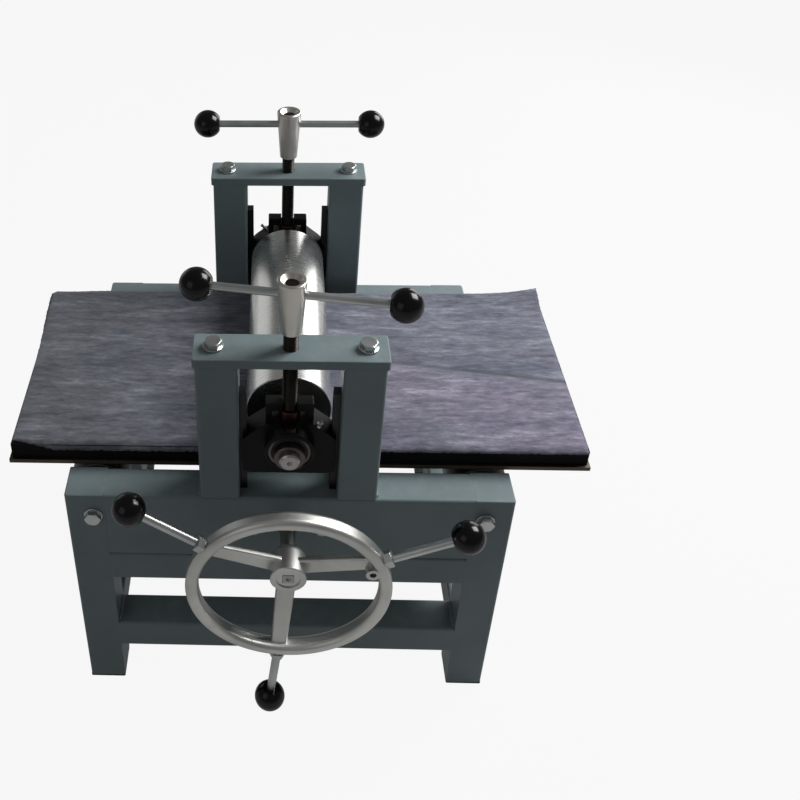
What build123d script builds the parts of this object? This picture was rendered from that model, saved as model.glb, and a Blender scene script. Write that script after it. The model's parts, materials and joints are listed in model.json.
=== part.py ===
"""Hand-cranked roller press for embossing leather belts, in millimetres.

+X runs along the bed to the right, +Y to the rear and +Z up. The handwheel is at the front, at -Y.
The pieces are drawn about the middle of the base, with the floor at zero height. Each written piece
is then moved so that the origin is on the floor, under the middle of the whole machine at rest.
"""
import os
from math import atan2, degrees, sqrt

from build123d import *

# Base: square tube legs, deep top rails, low stretchers
BASE_LENGTH = 570.0
BASE_HEIGHT = 382.0
TUBE = 50.0
TUBE_WALL = 3.0
TOP_RAIL_HEIGHT = 110.0
EDGE_RADIUS = 4.0
STRETCHER_BOTTOM = 75.0
FOOT_FLANGE = 3.0
FOOT_PLUG_DEPTH = 18.0

# End frames: two posts and a bridge plate at the front, and the same at the rear
POST_SPACING = 172.0
POST_HEIGHT = 213.0
POST_PLATE_THICKNESS = 10.0
BRIDGE_THICKNESS = 12.0
BRIDGE_OVERHANG = 3.0
BRIDGE_BOLT_SPACING = 180.0
STRIP_THICKNESS = 9.0
STRIP_WIDTH = 14.0
STRIP_HEIGHT = 160.0

# Press rollers, their shafts and bearings
ROLLER_DIAMETER = 108.0
LOWER_SIDE_CLEARANCE = 45.0
UPPER_SIDE_CLEARANCE = 14.0
ROLLER_WALL = 10.0
ROLLER_END_THICKNESS = 14.0
ROLLER_EDGE = 1.0
VENT_HOLE_DIAMETER = 6.0
LOWER_SHAFT_DIAMETER = 20.0
LOWER_RING_DIAMETER = 47.0
LOWER_RING_BORE = 29.0
LOWER_RING_WIDTH = 16.0
LOWER_SLEEVE_WIDTH = 31.0
UPPER_SHAFT_DIAMETER = 25.0
UPPER_SHAFT_REACH = 29.0
UPPER_RING_DIAMETER = 52.0
UPPER_RING_BORE = 38.0
UPPER_RING_WIDTH = 17.0
UPPER_SLEEVE_WIDTH = 34.0
UPPER_SLEEVE_PROUD = 11.0
RING_CHAMFER = 1.0
SHAFT_CHAMFER = 1.0
EDGE_BREAK = 0.5
CENTRE_DIAMETER = 6.0

# Flanged bearing housings of the lower roller, on the inside of the top rails
FLANGE_BOLT_SPACING = 90.0
FLANGE_THICKNESS = 12.0
FLANGE_EAR_RADIUS = 13.0
FLANGE_BOSS_DIAMETER = 64.0
FLANGE_BOSS_HEIGHT = 26.0
FLANGE_SEAT = 8.0
SLEEVE_SHIFT = 2.0
APRON_HOLE_DIAMETER = 32.0

# Sliding bearing housings of the upper roller
HOUSING_THICKNESS = 32.0
HOUSING_WIDTH = 114.0
HOUSING_DROP = 54.0
HOUSING_CORNER = 8.0
SHOULDER_WIDTH = 96.0
SHOULDER_HEIGHT = 11.0
LIP_SLOPE = 10.0
EAR_WIDTH = 58.0
EAR_BASE_HEIGHT = 27.0
EAR_HEIGHT = 53.0
EAR_THICKNESS = 16.0
EAR_ROUNDING = 2.0
BOSS_DIAMETER = 60.0
BOSS_REACH = 21.0
BOSS_TAPER = 1.5
RING_RECESS = 1.0
INNER_BORE_DIAMETER = 40.0
POCKET_BOTTOM = 25.0
POCKET_WIDTH = 42.0
NIPPLE_SIZE = 7.0
NIPPLE_LENGTH = 9.0
NIPPLE_PLACE = 0.28

# Pressure screws with their heads and cross rods
SCREW_DIAMETER = 18.0
SCREW_TOP_DIAMETER = 16.0
BUTTON_DIAMETER = 26.0
BUTTON_THICKNESS = 16.0
BUTTON_PIN_DIAMETER = 12.0
HEAD_LENGTH = 73.0
HEAD_TOP_DIAMETER = 34.0
HEAD_BOTTOM_DIAMETER = 25.0
HEAD_LIFT = 24.0
HEAD_BAND = 4.0
HEAD_DISH_DIAMETER = 26.0
HEAD_DISH_DEPTH = 5.0
ROD_DIAMETER = 10.0
ROD_DROP = 20.0
ROD_KNOB_SPACING = 235.0
FRONT_ROD_TURN = -9.0
FRONT_ROD_SHIFT = 8.5
KNOB_DIAMETER = 40.0
KNOB_FLAT = 17.0
KNOB_SOCKET = 12.0

# Bed: steel plate, board and felt blanket, which roll through between the rollers
BED_LENGTH = 752.0
BED_WIDTH = 344.0
BED_LIFT = 4.0
BED_SHIFT_X = 11.5
BED_FRONT_GAP = 2.0
BED_REAR_GAP = 19.0
PLATE_THICKNESS = 6.0
BOARD_THICKNESS = 23.5
BOARD_INSET = 4.0
FELT_THICKNESS = 4.0
FELT_INSET = 6.0

# Idler rollers that carry the bed at both ends of the base
IDLER_DIAMETER = 76.0
IDLER_WALL = 4.0
IDLER_END_THICKNESS = 12.0
IDLER_AXLE_DIAMETER = 20.0
IDLER_AXLE_INSET = 35.0
IDLER_END_GAP = 0.8

# Handwheel, with three handle bars
WHEEL_DIAMETER = 250.0
RIM_WIDTH = 16.0
RIM_DEPTH = 22.0
RIM_ROUNDING = 7.0
RIM_AHEAD_OF_HUB = 9.5
WHEEL_REACH = 84.5
HUB_DIAMETER = 45.0
HUB_LENGTH = 43.0
HUB_ROUNDING = 12.0
HUB_DISH_DIAMETER = 30.0
HUB_DISH_DEPTH = 1.5
SPOKE_ROOT_WIDTH = 25.0
SPOKE_TIP_WIDTH = 20.0
SPOKE_THICKNESS = 9.0
SPOKE_ROUNDING = 3.6
SPOKE_ROOT_DEPTH = 8.0
SPOKE_SETBACK = 18.0
SPOKE_ANGLE = 24.5
SPOKE_COUNT = 3
SQUARE_END = 14.0
SQUARE_END_RECESS = 0.8
HANDLE_BOSS_DIAMETER = 17.0
HANDLE_HOLE_DIAMETER = 8.0
HANDLE_HOLE_RADIUS = 106.0
HANDLE_HOLE_LAG = 4.0
BAR_DIAMETER = 11.0
BAR_KNOB_RADIUS = 226.5
BAR_SOCKET = 14.0
BAR_PAD_DIAMETER = 16.0
BAR_PAD_HEIGHT = 1.5
BAR_NUT_WIDTH = 18.0
BAR_NUT_THICKNESS = 8.0
SET_SCREW_DIAMETER = 6.0
SET_SCREW_RECESS = 2.0

# Fasteners
BOLT_DIAMETER = 12.0
HEX_WIDTH = 19.0
HEX_FACE_SHARE = 0.95
BOLT_HEAD = 7.5
BOLT_CHAMFER = 1.5
NUT_THICKNESS = 10.0
BOLT_HOLE = 13.0
BOLT_GRIP = 20.0
BOLT_TAIL = 3.0
WASHER_DIAMETER = 24.0
WASHER_THICKNESS = 2.5

# Clearances, on the radius or on one side
FIT_GAP = 0.03
RUNNING_GAP = 0.06
ROLLING_GAP = 0.3
GUIDE_GAP = 0.6

# Sizes and places that follow from the ones above
BASE_DEPTH = BED_WIDTH + BED_FRONT_GAP + BED_REAR_GAP + 2 * TUBE
BED_SHIFT_Y = (BED_FRONT_GAP - BED_REAR_GAP) / 2
HALF_LENGTH = BASE_LENGTH / 2
HALF_DEPTH = BASE_DEPTH / 2
INNER_DEPTH = HALF_DEPTH - TUBE
FRAME_Y = HALF_DEPTH - TUBE / 2
LOWER_ROLLER_LENGTH = 2 * (INNER_DEPTH - LOWER_SIDE_CLEARANCE)
UPPER_ROLLER_LENGTH = 2 * (INNER_DEPTH - UPPER_SIDE_CLEARANCE)
RAIL_LENGTH = BASE_LENGTH - 2 * TUBE
TOP_RAIL_BOTTOM = BASE_HEIGHT - TOP_RAIL_HEIGHT
BRIDGE_BOTTOM = BASE_HEIGHT + POST_HEIGHT
BRIDGE_TOP = BRIDGE_BOTTOM + BRIDGE_THICKNESS
POST_INNER = POST_SPACING / 2 - TUBE / 2
POST_OUTER = POST_SPACING / 2 + TUBE / 2
STRIP_INNER = POST_INNER - STRIP_THICKNESS
ROLLER_RADIUS = ROLLER_DIAMETER / 2
BED_BOTTOM = BASE_HEIGHT + BED_LIFT
BED_TOP = BED_BOTTOM + PLATE_THICKNESS + BOARD_THICKNESS + FELT_THICKNESS
LOWER_Z = BED_BOTTOM - ROLLING_GAP - ROLLER_RADIUS
UPPER_Z = BED_TOP + ROLLING_GAP + ROLLER_RADIUS
IDLER_X = HALF_LENGTH - IDLER_AXLE_INSET
IDLER_Z = BED_BOTTOM - ROLLING_GAP - IDLER_DIAMETER / 2
HOUSING_FRONT = HOUSING_THICKNESS / 2
UPPER_RING_START = HOUSING_FRONT + BOSS_REACH - RING_RECESS - UPPER_RING_WIDTH
POCKET_HEIGHT = BUTTON_THICKNESS + 2 * ROLLING_GAP
BUTTON_BOTTOM = UPPER_Z + POCKET_BOTTOM + ROLLING_GAP
HEAD_BOTTOM = BRIDGE_TOP + HEAD_LIFT
HEAD_TOP = HEAD_BOTTOM + HEAD_LENGTH
ROD_Z = HEAD_TOP - ROD_DROP
KNOB_RADIUS = KNOB_DIAMETER / 2
HUB_FACE_Y = -HALF_DEPTH - WHEEL_REACH
RIM_OUTER = WHEEL_DIAMETER / 2
RIM_MIDDLE = RIM_OUTER - RIM_WIDTH / 2
BAR_SEAT = RIM_OUTER + BAR_PAD_HEIGHT
MIDDLE_X = BED_SHIFT_X
MIDDLE_Y = (UPPER_SHAFT_REACH - WHEEL_REACH - RIM_AHEAD_OF_HUB - KNOB_RADIUS) / 2
RAISED = (Align.CENTER, Align.CENTER, Align.MIN)
RAISED_Y = (Align.CENTER, Align.MIN, Align.CENTER)
SIDES = {"left": -1, "right": 1}
ENDS = {"front": -1, "rear": 1}


def save(shape, node):
    """Write one named sub-part, moved to the part's own origin."""
    solids = [Pos(-MIDDLE_X, -MIDDLE_Y, 0) * solid for solid in shape.solids()]
    export_step(solids[0] if len(solids) == 1 else group(solids), f"parts/{node}.step")


def group(solids):
    """Several separate solids that share one node."""
    return Compound(children=list(solids))


def turned(outline):
    """Solid of revolution about Z, from the (radius, height) corners of its closed outline."""
    corners = [(r, 0, z) for r, z in outline]
    return revolve(make_face(Polyline(*corners, close=True)), axis=Axis.Z)


def rod(diameter, length, chamfer_size=0.0):
    """Round bar that stands on the XY plane, with both ends chamfered."""
    r = diameter / 2
    c = chamfer_size
    if c == 0:
        return Cylinder(r, length, align=RAISED)
    return turned([(0, 0), (r - c, 0), (r, c), (r, length - c), (r - c, length), (0, length)])


def ring(outer, inner, width, chamfer_size=EDGE_BREAK):
    """Flat ring that stands on the XY plane, with its outer edges chamfered."""
    r = outer / 2
    c = chamfer_size
    return turned([(inner / 2, 0), (r - c, 0), (r, c), (r, width - c), (r - c, width), (inner / 2, width)])


def facing_rear(x, y, z):
    """Place for a shape that is built along +Z and has to point to the rear."""
    return Pos(x, y, z) * Rot(-90, 0, 0)


def facing_end(end, x, y, z):
    """Place for a shape that is built along +Z and has to point out of the front or rear end."""
    return Pos(x, y, z) * Rot(-90 * end, 0, 0)


def hexagon(width, thickness):
    """Hexagon prism on the XY plane with its upper corners turned off, as on bolt heads and nuts."""
    corner = width / sqrt(3)
    flat = HEX_FACE_SHARE * width / 2
    slope = (corner - flat) / sqrt(3)
    prism = extrude(RegularPolygon(width / 2, 6, major_radius=False), thickness)
    cap = turned([(0, 0), (corner, 0), (corner, thickness - slope), (flat, thickness), (0, thickness)])
    return prism & cap


def hex_bolt(length):
    """Hexagon bolt: the head's seat is on the XY plane and the shank hangs below it."""
    shank = Pos(0, 0, -length) * rod(BOLT_DIAMETER, length + BOLT_HEAD / 2, BOLT_CHAMFER)
    return hexagon(HEX_WIDTH, BOLT_HEAD) + shank


def drilled(shape, diameter, length, places):
    """The shape with a straight hole at each place; each hole runs along its place's +Z."""
    for place in places:
        shape -= place * rod(diameter, length)
    return shape


def rounded_box(x_size, y_size, z_size, radius, axis):
    """Box about the origin, with the edges along one axis rounded."""
    box = Box(x_size, y_size, z_size)
    return fillet(box.edges().filter_by(axis), radius)


def tube_along_x(length, height):
    """Tube with open ends, lying along X about the origin."""
    outer = rounded_box(length, TUBE, height, EDGE_RADIUS, Axis.X)
    return outer - Box(length, TUBE - 2 * TUBE_WALL, height - 2 * TUBE_WALL)


def tube_along_y(length):
    """Square tube with open ends, lying along Y about the origin."""
    outer = rounded_box(TUBE, length, TUBE, EDGE_RADIUS, Axis.Y)
    return outer - Box(TUBE - 2 * TUBE_WALL, length, TUBE - 2 * TUBE_WALL)


def leg(side, end):
    """Leg of the full base height; its top is closed and its bottom is open for the foot."""
    height = BASE_HEIGHT - FOOT_FLANGE
    outer = Box(TUBE, TUBE, height)
    corner = outer.edges().filter_by(Axis.Z).sort_by(Axis((0, 0, 0), (side, end, 0)))[-1]
    outer = fillet(corner, EDGE_RADIUS)
    top = outer.faces().sort_by(Axis.Z)[-1]
    outside = top.edges().sort_by(Axis.Y)
    rim = outside[-1] if end > 0 else outside[0]
    outer = fillet(rim, EDGE_RADIUS / 2)
    inner = TUBE - 2 * TUBE_WALL
    hollow = Pos(0, 0, -TUBE_WALL) * Box(inner, inner, height)
    x = side * (HALF_LENGTH - TUBE / 2)
    y = end * FRAME_Y
    body = Pos(x, y, FOOT_FLANGE + height / 2) * (outer - hollow)
    hole = facing_rear(side * IDLER_X, y - TUBE, IDLER_Z)
    return drilled(body, BOLT_HOLE, 2 * TUBE, [hole])


def foot(side, end):
    """Plastic foot: a flange under the leg and a plug inside it."""
    inner = TUBE - 2 * TUBE_WALL - 2 * ROLLING_GAP
    flange = Box(TUBE, TUBE, FOOT_FLANGE, align=RAISED)
    flange = fillet(flange.edges().filter_by(Axis.Z), EDGE_RADIUS / 2)
    plug = Box(inner, inner, FOOT_FLANGE + FOOT_PLUG_DEPTH, align=RAISED)
    return Pos(side * (HALF_LENGTH - TUBE / 2), end * FRAME_Y, 0) * (flange + plug)


def top_rail(end):
    """Deep rail between two legs, with holes for the lower shaft and its bearing bolts."""
    y = end * FRAME_Y
    rail = Pos(0, y, BASE_HEIGHT - TOP_RAIL_HEIGHT / 2) * tube_along_x(RAIL_LENGTH, TOP_RAIL_HEIGHT)
    half = FLANGE_BOLT_SPACING / 2
    bolts = [facing_rear(x, y - TUBE, LOWER_Z) for x in (-half, half)]
    rail = drilled(rail, BOLT_HOLE, 2 * TUBE, bolts)
    if end < 0:
        rail = drilled(rail, APRON_HOLE_DIAMETER, 2 * TUBE, [facing_rear(0, y - TUBE, LOWER_Z)])
    return rail


def post(side, end):
    """Square post of an end frame, standing on the top rail."""
    outer = rounded_box(TUBE, TUBE, POST_HEIGHT, EDGE_RADIUS, Axis.Z)
    inner = TUBE - 2 * TUBE_WALL
    body = outer - Box(inner, inner, POST_HEIGHT)
    return Pos(side * POST_SPACING / 2, end * FRAME_Y, BASE_HEIGHT + POST_HEIGHT / 2) * body


def post_plate(side, end):
    """Tapped plate inside the top of a post, which the bridge bolt screws into."""
    inner = TUBE - 2 * TUBE_WALL - 2 * FIT_GAP
    z = BRIDGE_BOTTOM - POST_PLATE_THICKNESS / 2
    plate = Pos(side * POST_SPACING / 2, end * FRAME_Y, z) * Box(inner, inner, POST_PLATE_THICKNESS)
    hole = Pos(side * BRIDGE_BOLT_SPACING / 2, end * FRAME_Y, z - POST_PLATE_THICKNESS)
    return drilled(plate, BOLT_DIAMETER + 2 * FIT_GAP, 2 * POST_PLATE_THICKNESS, [hole])


def bridge(end):
    """Plate across the two posts of an end frame, tapped for the pressure screw."""
    length = 2 * (POST_OUTER + BRIDGE_OVERHANG)
    plate = Box(length, TUBE, BRIDGE_THICKNESS)
    plate = fillet(plate.edges().filter_by(Axis.Z), EDGE_RADIUS)
    plate = fillet(plate.faces().sort_by(Axis.Z)[-1].edges(), EDGE_RADIUS / 3)
    plate = Pos(0, end * FRAME_Y, BRIDGE_BOTTOM + BRIDGE_THICKNESS / 2) * plate
    z = BRIDGE_BOTTOM - BRIDGE_THICKNESS
    half = BRIDGE_BOLT_SPACING / 2
    holes = [Pos(x, end * FRAME_Y, z) for x in (-half, half)]
    plate = drilled(plate, BOLT_HOLE, 3 * BRIDGE_THICKNESS, holes)
    screw_hole = SCREW_DIAMETER + 2 * RUNNING_GAP
    return drilled(plate, screw_hole, 3 * BRIDGE_THICKNESS, [Pos(0, end * FRAME_Y, z)])


def guide_strip(side, end):
    """Upright strip on the inner face of a post, which a bearing housing slides on."""
    strip = Box(STRIP_THICKNESS, STRIP_WIDTH, STRIP_HEIGHT)
    x = side * (POST_INNER - STRIP_THICKNESS / 2)
    return Pos(x, end * FRAME_Y, BASE_HEIGHT + STRIP_HEIGHT / 2) * strip


def bridge_bolt(side, end):
    """Bolt through a bridge into the plate in its post."""
    length = BRIDGE_THICKNESS + WASHER_THICKNESS + BOLT_GRIP
    z = BRIDGE_TOP + WASHER_THICKNESS
    place = Pos(side * BRIDGE_BOLT_SPACING / 2, end * FRAME_Y, z)
    return place * hex_bolt(length)


def bolt_washer():
    """Washer on the XY plane."""
    return ring(WASHER_DIAMETER, BOLT_HOLE, WASHER_THICKNESS)


def bridge_washer(side, end):
    """Washer under a bridge bolt."""
    return Pos(side * BRIDGE_BOLT_SPACING / 2, end * FRAME_Y, BRIDGE_TOP) * bolt_washer()


def axle_bolt(side, end):
    """Bolt through a leg into the end of an idler axle."""
    length = TUBE + WASHER_THICKNESS + BOLT_GRIP
    y = end * (HALF_DEPTH + WASHER_THICKNESS)
    return facing_end(end, side * IDLER_X, y, IDLER_Z) * hex_bolt(length)


def axle_washer(side, end):
    """Washer under an axle bolt."""
    return facing_end(end, side * IDLER_X, end * HALF_DEPTH, IDLER_Z) * bolt_washer()


def idler_axle(side):
    """Fixed axle of an idler, held between two legs and tapped at both ends."""
    length = 2 * INNER_DEPTH
    axle = rod(IDLER_AXLE_DIAMETER, length)
    tap = BOLT_DIAMETER + 2 * FIT_GAP
    depth = BOLT_GRIP + BOLT_DIAMETER / 2
    axle = drilled(axle, tap, depth, [Pos(0, 0, 0), Pos(0, 0, length - depth)])
    return facing_rear(side * IDLER_X, -INNER_DEPTH, IDLER_Z) * axle


def hollow_roller(diameter, wall, length, end_thickness, bore, edge):
    """Tube roller closed by two bored end plates, each with a small vent hole, along +Z."""
    r = diameter / 2
    t = end_thickness
    body = rod(diameter, length, edge) - rod(bore, length)
    inside = [(bore / 2, t), (r - wall, t), (r - wall, length - t), (bore / 2, length - t)]
    body -= turned(inside)
    vent = (bore / 2 + r - wall) / 2
    return drilled(body, VENT_HOLE_DIAMETER, length, [Pos(vent, 0, -length / 2), Pos(vent, 0, length / 2)])


def idler_roller(side):
    """Idler roller on its fixed axle."""
    length = 2 * (INNER_DEPTH - IDLER_END_GAP)
    bore = IDLER_AXLE_DIAMETER + 2 * RUNNING_GAP
    body = hollow_roller(IDLER_DIAMETER, IDLER_WALL, length, IDLER_END_THICKNESS, bore, ROLLER_EDGE)
    return facing_rear(side * IDLER_X, -length / 2, IDLER_Z) * body


def flange_housing(end):
    """Two-bolt flanged bearing housing on the inner face of a top rail."""
    half = FLANGE_BOLT_SPACING / 2
    boss = Circle(FLANGE_BOSS_DIAMETER / 2)
    ears = [Pos(x, 0) * Circle(FLANGE_EAR_RADIUS) for x in (-half, half)]
    outline = make_hull((boss + ears[0] + ears[1]).edges())
    body = extrude(outline, FLANGE_THICKNESS) + rod(FLANGE_BOSS_DIAMETER, FLANGE_BOSS_HEIGHT, 2 * EDGE_BREAK)
    seat = LOWER_RING_DIAMETER + 2 * FIT_GAP
    body = drilled(body, seat, FLANGE_BOSS_HEIGHT, [Pos(0, 0, FLANGE_SEAT)])
    shoulder = (LOWER_RING_DIAMETER + LOWER_RING_BORE) / 2
    body = drilled(body, shoulder, FLANGE_BOSS_HEIGHT, [Pos(0, 0, -FLANGE_SEAT)])
    places = [Pos(x, 0, -FLANGE_THICKNESS / 2) for x in (-half, half)]
    body = drilled(body, BOLT_HOLE, 2 * FLANGE_THICKNESS, places)
    return facing_end(-end, 0, end * INNER_DEPTH, LOWER_Z) * body


def lower_outer_ring(end):
    """Outer bearing ring in a flanged housing."""
    body = ring(LOWER_RING_DIAMETER, LOWER_RING_BORE, LOWER_RING_WIDTH)
    return facing_end(-end, 0, end * (INNER_DEPTH - FLANGE_SEAT), LOWER_Z) * body


def lower_inner_ring(end):
    """Inner bearing ring, clamped on the lower shaft."""
    bore = LOWER_SHAFT_DIAMETER + 2 * FIT_GAP
    body = ring(LOWER_RING_BORE - 2 * RUNNING_GAP, bore, LOWER_SLEEVE_WIDTH)
    middle = FLANGE_SEAT + LOWER_RING_WIDTH / 2
    start = middle - LOWER_SLEEVE_WIDTH / 2 + SLEEVE_SHIFT
    return facing_end(-end, 0, end * (INNER_DEPTH - start), LOWER_Z) * body


def flange_bolt(side, end):
    """Bolt through a top rail and a flanged housing."""
    length = TUBE + FLANGE_THICKNESS + NUT_THICKNESS + BOLT_TAIL
    x = side * FLANGE_BOLT_SPACING / 2
    return facing_end(end, x, end * HALF_DEPTH, LOWER_Z) * hex_bolt(length)


def flange_nut(side, end):
    """Nut of a flanged housing's bolt."""
    nut = hexagon(HEX_WIDTH, NUT_THICKNESS) - rod(BOLT_DIAMETER + 2 * FIT_GAP, NUT_THICKNESS)
    x = side * FLANGE_BOLT_SPACING / 2
    return facing_end(-end, x, end * (INNER_DEPTH - FLANGE_THICKNESS), LOWER_Z) * nut


def press_roller(length, bore):
    """Press roller with its axis along +Z."""
    return hollow_roller(ROLLER_DIAMETER, ROLLER_WALL, length, ROLLER_END_THICKNESS, bore, ROLLER_EDGE)


def lower_roller():
    """Lower press roller."""
    roller = press_roller(LOWER_ROLLER_LENGTH, LOWER_SHAFT_DIAMETER + 2 * FIT_GAP)
    return facing_rear(0, -LOWER_ROLLER_LENGTH / 2, LOWER_Z) * roller


def upper_roller():
    """Upper press roller."""
    roller = press_roller(UPPER_ROLLER_LENGTH, UPPER_SHAFT_DIAMETER + 2 * FIT_GAP)
    return facing_rear(0, -UPPER_ROLLER_LENGTH / 2, UPPER_Z) * roller


def centre_hole():
    """Cutter for a lathe centre hole, going up from the XY plane."""
    r = CENTRE_DIAMETER / 2
    return turned([(0, -r), (r, -r), (r, r / 3), (0, r / 3 + r)])


def drive_shaft():
    """Lower shaft, from the rear bearing to the squared front end in the handwheel."""
    hub_back = HUB_FACE_Y + HUB_LENGTH
    length = INNER_DEPTH - ROLLING_GAP - hub_back
    body = facing_rear(0, hub_back, LOWER_Z) * rod(LOWER_SHAFT_DIAMETER, length, SHAFT_CHAMFER)
    front = HUB_FACE_Y + SQUARE_END_RECESS
    square_length = hub_back + SHAFT_CHAMFER - front
    square = Box(SQUARE_END, square_length, SQUARE_END, align=(Align.CENTER, Align.MIN, Align.CENTER))
    square = chamfer(square.faces().sort_by(Axis.Y)[0].edges(), SHAFT_CHAMFER / 2)
    return body + Pos(0, front, LOWER_Z) * square - facing_rear(0, front, LOWER_Z) * centre_hole()


def upper_shaft():
    """Upper shaft, which stands out of both bearing housings."""
    length = BASE_DEPTH + 2 * UPPER_SHAFT_REACH
    shaft = rod(UPPER_SHAFT_DIAMETER, length, 2 * SHAFT_CHAMFER)
    far = Pos(0, 0, length) * Rot(180, 0, 0) * centre_hole()
    return facing_rear(0, -length / 2, UPPER_Z) * (shaft - centre_hole() - far)


def housing_place(end):
    """Place of a housing that is drawn in XY about the bearing's centre, with +Z out of the end."""
    turn = 0 if end < 0 else 180
    return Pos(0, end * FRAME_Y, UPPER_Z) * Rot(0, 0, turn) * Rot(90, 0, 0)


def housing_plate():
    """Plate of a sliding housing: lips at both sides and shoulders that slope up to the ears."""
    lip = HOUSING_WIDTH / 2
    shoulder = SHOULDER_WIDTH / 2
    ear = EAR_WIDTH / 2
    right = [
        (lip, -HOUSING_DROP),
        (lip, SHOULDER_HEIGHT - LIP_SLOPE),
        (shoulder, SHOULDER_HEIGHT),
        (ear, EAR_BASE_HEIGHT),
    ]
    left = [(-x, y) for x, y in reversed(right)]
    outline = make_face(Polyline(*right, *left, close=True))
    plate = Pos(0, 0, -HOUSING_FRONT) * extrude(outline, HOUSING_THICKNESS)
    lowest = plate.edges().filter_by(Axis.Z).sort_by(Axis.Y)[:2]
    return fillet(lowest, HOUSING_CORNER)


def housing_ears():
    """Thinner upright part above the plate, which the screw's button hangs in."""
    ears = Box(EAR_WIDTH, EAR_HEIGHT, EAR_THICKNESS, align=RAISED_Y)
    highest = ears.edges().filter_by(Axis.Z).sort_by(Axis.Y)[-2:]
    return fillet(highest, EAR_ROUNDING)


def bearing_housing(end):
    """Cast housing that slides on two guide strips and carries one end of the upper roller."""
    boss = cone_step(BOSS_DIAMETER, BOSS_TAPER, HOUSING_FRONT + BOSS_REACH)
    body = housing_plate() + housing_ears() + boss
    depth = 2 * HOUSING_THICKNESS
    slot = SCREW_DIAMETER + 2 * GUIDE_GAP
    body -= Pos(0, POCKET_BOTTOM, 0) * Box(slot, EAR_HEIGHT, depth, align=RAISED_Y)
    pocket = Box(POCKET_WIDTH, POCKET_HEIGHT, depth, align=(Align.CENTER, Align.MIN, Align.MAX))
    body -= Pos(0, POCKET_BOTTOM, HOUSING_FRONT) * pocket
    groove = 2 * (STRIP_INNER - GUIDE_GAP)
    outside = Box(2 * HOUSING_WIDTH, 4 * EAR_HEIGHT, STRIP_WIDTH + 2 * GUIDE_GAP)
    body -= outside - Box(groove, 4 * EAR_HEIGHT, HOUSING_THICKNESS)
    body = drilled(body, UPPER_RING_DIAMETER + 2 * FIT_GAP, depth, [Pos(0, 0, UPPER_RING_START)])
    body = drilled(body, INNER_BORE_DIAMETER, 2 * depth, [Pos(0, 0, -depth)])
    return housing_place(end) * body


def cone_step(diameter, taper, height):
    """Round boss on the XY plane, a little narrower at its top."""
    r = diameter / 2
    return turned([(0, 0), (r, 0), (r, height - taper), (r - taper, height), (0, height)])


def grease_nipple(end):
    """Grease nipple on the sloping shoulder of a housing."""
    r = NIPPLE_SIZE / 2
    hexagon_height = NIPPLE_LENGTH / 3
    stem = rod(r, NIPPLE_LENGTH) + Pos(0, 0, NIPPLE_LENGTH - r) * rod(1.5 * r, r, r / 4)
    body = hexagon(NIPPLE_SIZE, hexagon_height) + stem
    run = (SHOULDER_WIDTH - EAR_WIDTH) / 2
    fall = EAR_BASE_HEIGHT - SHOULDER_HEIGHT
    x = EAR_WIDTH / 2 + NIPPLE_PLACE * run
    y = EAR_BASE_HEIGHT - NIPPLE_PLACE * fall
    lean = degrees(atan2(fall, run))
    place = Pos(x, y, HOUSING_FRONT - NIPPLE_SIZE / 2) * Rot(0, 0, -lean) * Rot(-90, 0, 0)
    return housing_place(end) * place * body


def upper_outer_ring(end):
    """Outer bearing ring in a sliding housing."""
    body = ring(UPPER_RING_DIAMETER, UPPER_RING_BORE, UPPER_RING_WIDTH)
    return facing_end(end, 0, end * (FRAME_Y + UPPER_RING_START), UPPER_Z) * body


def upper_inner_ring(end):
    """Inner bearing ring, clamped on the upper shaft."""
    bore = UPPER_SHAFT_DIAMETER + 2 * FIT_GAP
    body = ring(UPPER_RING_BORE - 2 * RUNNING_GAP, bore, UPPER_SLEEVE_WIDTH, RING_CHAMFER)
    start = UPPER_RING_START + UPPER_RING_WIDTH + UPPER_SLEEVE_PROUD - UPPER_SLEEVE_WIDTH
    return facing_end(end, 0, end * (FRAME_Y + start), UPPER_Z) * body


def pressure_screw(end):
    """Pressure screw: a pin in the button, the threaded length, and a top end inside the head."""
    pin = BUTTON_PIN_DIAMETER / 2
    r = SCREW_DIAMETER / 2
    top = SCREW_TOP_DIAMETER / 2
    c = SHAFT_CHAMFER
    pin_bottom = BUTTON_BOTTOM + c
    shoulder = BUTTON_BOTTOM + BUTTON_THICKNESS
    end_top = HEAD_TOP - HEAD_DISH_DEPTH
    outline = [
        (0, pin_bottom), (pin, pin_bottom), (pin, shoulder), (r - c, shoulder), (r, shoulder + c),
        (r, HEAD_BOTTOM), (top, HEAD_BOTTOM), (top, end_top), (0, end_top),
    ]
    return Pos(0, end * FRAME_Y, 0) * turned(outline) - cross_hole(end)


def screw_button(end):
    """Bronze button under a pressure screw, held in the pocket of the housing."""
    pin = BUTTON_PIN_DIAMETER + 2 * FIT_GAP
    button = ring(BUTTON_DIAMETER, pin, BUTTON_THICKNESS, RING_CHAMFER)
    return Pos(0, end * FRAME_Y, BUTTON_BOTTOM) * button


def rod_turn(end):
    """Angle of a cross rod about its screw at rest."""
    return FRONT_ROD_TURN if end < 0 else 0.0


def rod_shift(end):
    """How far a cross rod is slid to the right in its head at rest."""
    return FRONT_ROD_SHIFT if end < 0 else 0.0


def rod_place(end):
    """Place of a shape that is built along +Z and has to lie along a cross rod, from its middle."""
    return Pos(0, end * FRAME_Y, ROD_Z) * Rot(0, 0, rod_turn(end)) * Rot(0, 90, 0)


def cross_hole(end):
    """Hole for a cross rod."""
    length = 2 * HEAD_TOP_DIAMETER
    return rod_place(end) * Pos(0, 0, -length / 2) * rod(ROD_DIAMETER + 2 * FIT_GAP, length)


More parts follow.
